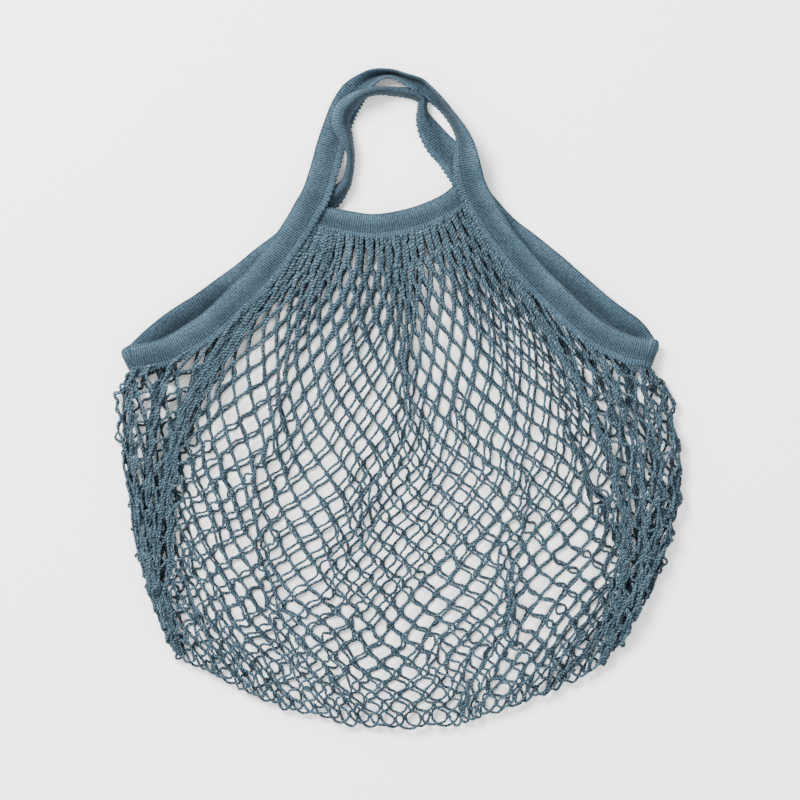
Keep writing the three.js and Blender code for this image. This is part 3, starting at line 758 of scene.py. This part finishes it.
class Layer:
    """One layer of the net: where every joint lies, before and after the cords pull on each other.

    Joints stand on half strand numbers, halfway between the two strands that they join, and in rows. A
    joint of an even sum of strand and row joins that strand to the next one."""

    def __init__(self, border, front, net):
        self.net, self.front, self.border = net, front, border
        self.rng = np.random.default_rng(net.seed + (0 if front else 100))
        self.lanes = np.arange(STRANDS + 1) - 0.5
        self.rows = np.arange(ROWS + 1)
        self.layout()
        self.settle()
        self.heights()

    def guide_points(self, strands, shares):
        """Plan points at strand numbers and shares of the way down, both as arrays of one length."""
        stations = STRAND_GUIDES[:, 0]
        points = STRAND_GUIDES[:, 2:].reshape(len(stations), -1, 2)
        along = smooth_between(stations, points, strands)
        knots = np.linspace(0, 1, along.shape[1])
        low = np.clip((shares * (len(knots) - 1)).astype(int), 0, len(knots) - 2)
        t = (shares * (len(knots) - 1) - low)[:, None]
        index = np.arange(len(strands))
        ends = np.concatenate([2 * along[:, :1] - along[:, 1:2], along,
                               2 * along[:, -1:] - along[:, -2:-1]], axis=1)
        p0, p1, p2, p3 = (ends[index, low + i] for i in range(4))
        return plan(cubic(p1, p2, (p2 - p0) / 2, (p3 - p1) / 2, t))

    def missed(self, strands):
        return np.interp(strands, STRAND_GUIDES[:, 0], STRAND_GUIDES[:, 1])

    def layout(self):
        """Joints on the guides, rows closer together towards the rim, with the strands clumped by a smooth
        random field and every joint a little out of place."""
        steps = np.linspace(18.8, 12.0, ROWS)
        steps[-1] *= 0.8
        down = np.concatenate([[0], np.cumsum(steps)]) / steps.sum()
        lane, row = np.meshgrid(self.lanes, self.rows, indexing="ij")
        missed = self.missed(lane)
        share = (down[row] - missed) / (1 - missed)
        self.share = share
        side = np.minimum(lane, STRANDS - 1 - lane) / SIDE_STRANDS
        rim = soft_step(np.minimum(lane + 0.5, STRANDS - 0.5 - lane) / 4)
        count = (STRANDS + 1, ROWS + 1)
        fall = np.random.default_rng(self.net.seed + 50)  # what both layers share
        clump = random_field(fall, *count, 4.5, 8) + 0.8 * random_field(fall, *count, 2.2, 4)
        drift = 1.2 * random_field(fall, *count, 14, 12)
        own = random_field(self.rng, *count, 6, 6)
        drift = drift + (0.15 * own if self.front else 0.35 + 0.65 * own)
        if not self.front:  # the loops of the two rims alternate
            drift = drift + (1 - 0.35 - 0.65 * own) * soft_step((share - 0.84) / 0.14)
        fan = soft_step((side - 0.75) / 0.4)
        turn = lane * 2 * math.pi / FOLD_LANES + 1.3 * random_field(self.rng, *count, 30, 14)
        pleat = FOLD_SHIFT * np.sin(turn + (0 if self.front else 2.0))
        loose = self.net.clumping * (0.45 + 0.75 * soft_step(share * 2))
        shift = clump * loose * (0.45 + 0.55 * fan) + drift + pleat * (1 - fan) * 0.8
        shift = shift * soft_step((share + 0.02) / 0.12) * rim
        if not self.front:
            lag = 0.003 + 0.011 * random_field(self.rng, *count, 9, 7)
            share = share + lag * soft_step(share * 8) * soft_step((1 - share) * 8)
        strands = np.clip(lane + shift, -0.9, STRANDS - 0.1)
        flat = self.guide_points(strands.ravel(), np.clip(share, 0, 1).ravel())
        ahead = self.guide_points(strands.ravel(), np.clip(share + 0.02, 0, 1).ravel())
        behind = self.guide_points(strands.ravel(), np.clip(share - 0.02, 0, 1).ravel())
        self.way = unit(ahead - behind).reshape(*lane.shape, 2)
        loose = (0.3 + 1.25 * soft_step((share - 0.1) * 2) * fan
                 + (1 - fan) * np.where(lane > STRANDS / 2, 2.0, 0.4))
        jitter = self.rng.normal(0, 1, (lane.size, 2)) * loose.reshape(-1, 1)
        self.rest = (flat + jitter).reshape(*lane.shape, 2)
        self.pleat, self.side, self.rim = pleat, side, rim
        started = np.concatenate([self.missed(np.arange(STRANDS)), [9.0]])
        latest = np.maximum(np.concatenate([[0], started[:-1]]), np.concatenate([started[:-1], [0]]))
        self.there = (down[row] - latest[:, None] > 0.012)

    def settle(self):
        """Pulls joints together wherever a cord between them would be longer than a bar, pushes
        neighbouring joints of a row in the fan apart to their least distance, and lets each drift back
        a little towards its place, over and over."""
        net = self.net
        place_now = self.rest.copy()
        strand = np.arange(STRANDS)[:, None]
        row = np.arange(ROWS)[None, :]
        even = (strand + row) % 2 == 0
        upper = np.where(even, strand + 1, strand)
        lower = np.where(even, strand, strand + 1)
        good = self.there[upper, np.broadcast_to(row, upper.shape)]
        a = (upper * (ROWS + 1) + row)[good]
        b = (lower * (ROWS + 1) + row + 1)[good]
        most = (net.bar_length + net.joint_length) / MM
        lane, line = np.meshgrid(np.arange(STRANDS - 1), np.arange(ROWS + 1), indexing="ij")
        beside = ((lane + line) % 2 == 1) & self.there[:-2] & (self.side[:-2] > 0.9) & (self.side[2:] > 0.9)
        c = (lane * (ROWS + 1) + line)[beside]
        d = ((lane + 2) * (ROWS + 1) + line)[beside]
        flat = place_now.reshape(-1, 2)
        rest = self.rest.reshape(-1, 2)
        for _ in range(SETTLE_ROUNDS):
            push = np.zeros_like(flat)
            load = np.zeros(len(flat))
            for first, second, least, longest in ((a, b, 0, most), (c, d, FAN_APART, 1e9)):
                gap = flat[second] - flat[first]
                size = np.linalg.norm(gap, axis=1)
                wrong = np.where(size > longest, size - longest, np.where(size < least, size - least, 0))
                move = gap / np.maximum(size, 1e-6)[:, None] * wrong[:, None] / 2
                np.add.at(push, first, move)
                np.add.at(push, second, -move)
                np.add.at(load, first, wrong != 0)
                np.add.at(load, second, wrong != 0)
            flat += push / np.maximum(load, 1)[:, None] * 1.2
            flat += (rest - flat) * 0.03
        self.joint = flat.reshape(self.rest.shape)

    def heights(self):
        """Heights of the joints: the layer's own, pleats and gathers in the side bunches, and both layers
        closing to the middle height round the rim."""
        share = np.clip(self.share, 0, 1)
        base = FRONT_MIDDLE if self.front else 1.3
        bunch = soft_step((0.95 - self.side) / 0.35)
        fold = np.sin(np.arccos(np.clip(np.abs(self.pleat) / FOLD_SHIFT, 0, 1)))
        rise = bunch * (2.2 + 2.4 * np.cos(self.pleat * 1.2)) * self.rim
        field = random_field(self.rng, *self.share.shape, 3, 5) * 0.5
        height = base + (rise + fold * bunch * 0.6 if self.front else rise * 0.9) + field * (0.3 + self.rim)
        close = 1 - (1 - soft_step((1.0 - share) / 0.06)) * 0.95
        lanes = self.lanes[:, None]
        close = close * soft_step((lanes + 0.9) / 4) * soft_step((STRANDS - 0.1 - lanes) / 4)
        gap = 0.9 if self.front else -0.9
        self.height = (MID_HEIGHT + gap) * (1 - close) + height * close
        self.height = np.maximum(self.height, 1.15)

    def strand(self, number):
        """Middle line of one strand with its cord widths. At a joint it runs beside its neighbour, and
        between two joints it follows a cubic that leaves and enters along the net's own direction, bowed
        aside by the slack that the bar has left."""
        net, rng = self.net, self.rng
        odd = (number + self.rows) % 2
        lane = number + 1 - odd
        there = self.there[lane, self.rows] & (self.rows > 0)
        rows = self.rows[there]
        lane, aside = lane[there], np.where(odd[there] == 0, 1.0, -1.0)
        centre, way = self.joint[lane, rows], self.way[lane, rows]
        angle = rng.normal(0, 0.12, len(rows)) * soft_step(self.share[lane, rows] * 1.4)
        way = np.stack([way[:, 0] * np.cos(angle) - way[:, 1] * np.sin(angle),
                        way[:, 0] * np.sin(angle) + way[:, 1] * np.cos(angle)], axis=1)
        across = np.stack([-way[:, 1], way[:, 0]], axis=1)
        half = net.joint_length / MM / 2 * np.where(rows == ROWS, 0.0, 1.0)[:, None]
        apart = (net.cord_width / MM / 2 * 0.86 * aside * np.where(rows == ROWS, 0.0, 1.0))[:, None]
        height = self.height[lane, rows] + aside * 0.3 * np.where(rows % 4 < 2, 1, -1)
        enter = np.column_stack([centre - way * half - across * apart, height])
        leave = np.column_stack([centre + way * half - across * apart, height])
        nearest = self.border[np.argmin(np.linalg.norm(self.border[:, :2] - self.top(number), axis=1))]
        start = np.array([*self.top(number), nearest[2] if self.front else max(nearest[2], 1.3)])
        start[:2] = nearest[:2] * 0.85 + start[:2] * 0.15
        leave = np.vstack([start, leave])
        enter = np.vstack([enter, enter[-1:]])[:len(leave)]
        first_way = unit((enter[0] - start)[:2])
        out = np.vstack([first_way, way])
        chord = np.linalg.norm(enter[:len(rows)] - leave[:len(rows)], axis=1)
        bar = net.bar_length / MM
        slack = np.sqrt(np.clip(bar ** 2 - chord ** 2, 0, None))
        p0, p1 = leave[:-1], enter[:len(rows)]
        straight = unit((p1 - p0)[:, :2])
        bend = (0.38 + 0.05 * np.minimum(slack, 5))[:, None]
        m0 = (out[:-1] * bend + straight * (1 - bend)) * chord[:, None]
        m1 = (way * bend + straight * (1 - bend)) * chord[:, None]
        if rows[-1] == ROWS:
            m1[-1] = across[-1] * aside[-1] * chord[-1] * 0.85
            m0[-1] = out[-2] * chord[-1]
        m0, m1 = (np.column_stack([m, np.zeros(len(rows))]) for m in (m0, m1))
        sway = rng.normal(0, 1, len(rows)) * np.minimum(slack * 0.28, 2.1)
        sway[[0, -1]] = 0
        normal = unit(np.column_stack([-(p1 - p0)[:, 1], (p1 - p0)[:, 0]]))
        lift = rng.normal(0, 0.35, len(rows))
        bow = np.column_stack([normal * sway[:, None], lift])
        line = [start[None]]
        t = np.linspace(0, 1, 6)[1:-1, None]
        for i in range(len(rows)):
            line.append(cubic(p0[i], p1[i], m0[i], m1[i], t) + bow[i] * np.sin(math.pi * t))
            if rows[i] == ROWS:
                line.append(p1[i][None])
            else:
                line += [p1[i][None], (p1[i] + leave[i + 1])[None] / 2, leave[i + 1][None]]
        line = np.vstack(line)
        near = np.linalg.norm(line[:, :2] - line[0, :2], axis=1)
        fat = np.exp(-(near / NECK_FADE) ** 2) * (1 if self.share_top(number) < 0.05 else 0.12)
        width = (net.cord_width + (net.neck_cord_width - net.cord_width) * fat) / MM
        crinkle = rng.normal(0, 1, line.shape) * (soft_step(near / 3) * (0.13 + fat * 0.24))[:, None]
        line = line + crinkle * np.array([1.0, 1.0, 0.9])
        width = width * rng.uniform(0.9, 1.1, len(line))
        line[:, 2] = np.maximum(line[:, 2], width * 0.58)
        return line, width

    def top(self, number):
        beside = number if self.front else number + 0.5
        return self.guide_points(np.array([float(beside)]), np.array([0.0]))[0]

    def share_top(self, number):
        return float(self.missed(np.array([float(number)]))[0])


def cord_rings(line, width):
    """Rings of six points round a cord's line. The ring is an oval that turns as it goes, as two strands
    wound round each other do, so the outline is lumpy."""
    run = unit(np.gradient(line, axis=0))
    side = unit(np.cross(run, [0, 0, 1.0]))
    up = np.cross(side, run)
    length = np.concatenate([[0], np.cumsum(np.linalg.norm(np.diff(line, axis=0), axis=1))])
    angle = np.arange(6) * math.pi / 3
    radius = width[:, None] / 2 * (1 + 0.13 * np.cos(2 * (angle[None] - length[:, None] * 2 * math.pi / 5.3)))
    rings = (line[:, None] + side[:, None] * (radius * np.cos(angle))[..., None]
             + up[:, None] * (radius * np.sin(angle))[..., None])
    return rings, length


def net_piece(name, layer, strands):
    """The strands of one part of a layer, as one piece."""
    rng = np.random.default_rng(layer.net.seed + 11)
    strips, texture, tones = [], [], []
    for number in strands:
        rings, length = cord_rings(*layer.strand(number))
        strips.append(rings)
        texture.append(length + rng.uniform(0, 2.5))
        tones.append(rng.uniform(0.78, 1.22))
    piece = ring_mesh(name, strips, texture, tones, material_of("cord", cord_material))
    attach(piece, "root")
    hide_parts(*(("front_net", "net_rim") if layer.front else ("back_net", "net_rim")))
    return piece


class BAG_OT_net(bpy.types.Operator):
    """Makes the front and back layers of the net, each as a fan and its side bunches"""

    bl_idname = "string_bag.net"
    bl_label = "Net"

    def execute(self, context):
        net = context.scene.string_bag.net
        front_tape, back_tape, front_band, back_band = tape_lines()
        fan = range(SIDE_STRANDS, STRANDS - SIDE_STRANDS)
        sides = [*range(SIDE_STRANDS), *range(STRANDS - SIDE_STRANDS, STRANDS)]
        for name, tape, band, front in (("net_front", front_tape, front_band, True),
                                        ("net_back", back_tape, back_band, False)):
            layer = Layer(looped_border(tape, band), front, net)
            net_piece(name, layer, fan)
            net_piece(name + "_sides", layer, sides)
        return {"FINISHED"}


class BAG_OT_tapes(bpy.types.Operator):
    """Makes the front and back tapes, which edge the side mouths and form the two handles"""

    bl_idname = "string_bag.tapes"
    bl_label = "Tapes and handles"

    def execute(self, context):
        sizes = context.scene.string_bag.tape
        front, back = tape_lines()[:2]
        knitted_piece("front_tape_knit", front, sizes.width, 0.62, 3, "front_tape", 0.3)
        knitted_piece("back_tape_knit", back, sizes.width, 0.62, 4, "back_tape", 0.3)
        return {"FINISHED"}


class BAG_OT_neck_bands(bpy.types.Operator):
    """Makes the two short bands between the shoulders, which the gathered net hangs from"""

    bl_idname = "string_bag.neck_bands"
    bl_label = "Neck bands"

    def execute(self, context):
        sizes = context.scene.string_bag.tape
        front, back = tape_lines()[2:]
        knitted_piece("front_neck_knit", front, sizes.neck_width, 0.5, 5, "front_neck_band")
        knitted_piece("back_neck_knit", back, sizes.neck_width, 0.5, 6, "back_neck_band")
        return {"FINISHED"}


def soft_light(name, spot, size, power):
    """A large square lamp that faces the middle of the bag."""
    lamp = bpy.data.lights.new(name, "AREA")
    lamp.shape = "SQUARE"
    lamp.size = size
    lamp.energy = power
    holder = bpy.data.objects.new(name, lamp)
    bpy.context.collection.objects.link(holder)
    holder.location = spot
    x, y, z = spot
    holder.rotation_euler = (math.atan2(math.hypot(x, y), z), 0, math.atan2(x, -y))


class BAG_OT_stage(bpy.types.Operator):
    """Makes the pale floor, the soft studio light and the camera straight above the bag"""

    bl_idname = "string_bag.stage"
    bl_label = "Stage, light and camera"

    def execute(self, context):
        mesh = bpy.data.meshes.new("stage_floor")
        half = 3.0
        corners = [(-half, -half, 0), (half, -half, 0), (half, half, 0), (-half, half, 0)]
        mesh.from_pydata(corners, [], [(0, 1, 2, 3)])
        floor = bpy.data.objects.new("stage_floor", mesh)
        context.collection.objects.link(floor)
        mesh.materials.append(material_of("floor", floor_material))
        world = bpy.data.worlds.new("studio")
        world.use_nodes = True
        world.node_tree.nodes["Background"].inputs["Color"].default_value = (1, 1, 1, 1)
        world.node_tree.nodes["Background"].inputs["Strength"].default_value = 1.75
        context.scene.world = world
        soft_light("key", (-1.1, 1.2, 1.7), 1.0, 190)
        soft_light("fill", (1.5, -0.6, 1.6), 1.6, 14)
        camera = bpy.data.objects.new("camera", bpy.data.cameras.new("camera"))
        context.collection.objects.link(camera)
        camera.data.lens = 150
        camera.data.sensor_width = 36
        camera.location = (0.00067, -0.00202, 2.4)
        camera.data.clip_start, camera.data.clip_end = 0.1, 20
        context.scene.camera = camera
        return {"FINISHED"}


OPERATORS = (BAG_OT_net, BAG_OT_tapes, BAG_OT_neck_bands, BAG_OT_stage)


class BAG_PT_panel(bpy.types.Panel):
    bl_idname = "BAG_PT_panel"
    bl_label = "String shopping bag"
    bl_space_type = "VIEW_3D"
    bl_region_type = "UI"
    bl_category = "String bag"

    def draw(self, context):
        sizes = context.scene.string_bag
        for title, group in (("Tape", sizes.tape), ("Net", sizes.net), ("Colours", sizes.colours)):
            box = self.layout.box()
            box.label(text=title)
            for name in group.bl_rna.properties.keys():
                if name not in ("rna_type", "name"):
                    box.prop(group, name)
        for operator in OPERATORS:
            self.layout.operator(operator.bl_idname)


CLASSES = (BagTape, BagNet, BagColours, BagSizes, *OPERATORS, BAG_PT_panel)


def register():
    for kind in CLASSES:
        bpy.utils.register_class(kind)
    bpy.types.Scene.string_bag = PointerProperty(type=BagSizes)


def unregister():
    del bpy.types.Scene.string_bag
    for kind in reversed(CLASSES):
        bpy.utils.unregister_class(kind)


def main():
    register()
    bpy.ops.string_bag.stage()
    bpy.ops.string_bag.net()
    bpy.ops.string_bag.tapes()
    bpy.ops.string_bag.neck_bands()


if __name__ == "__main__":
    main()
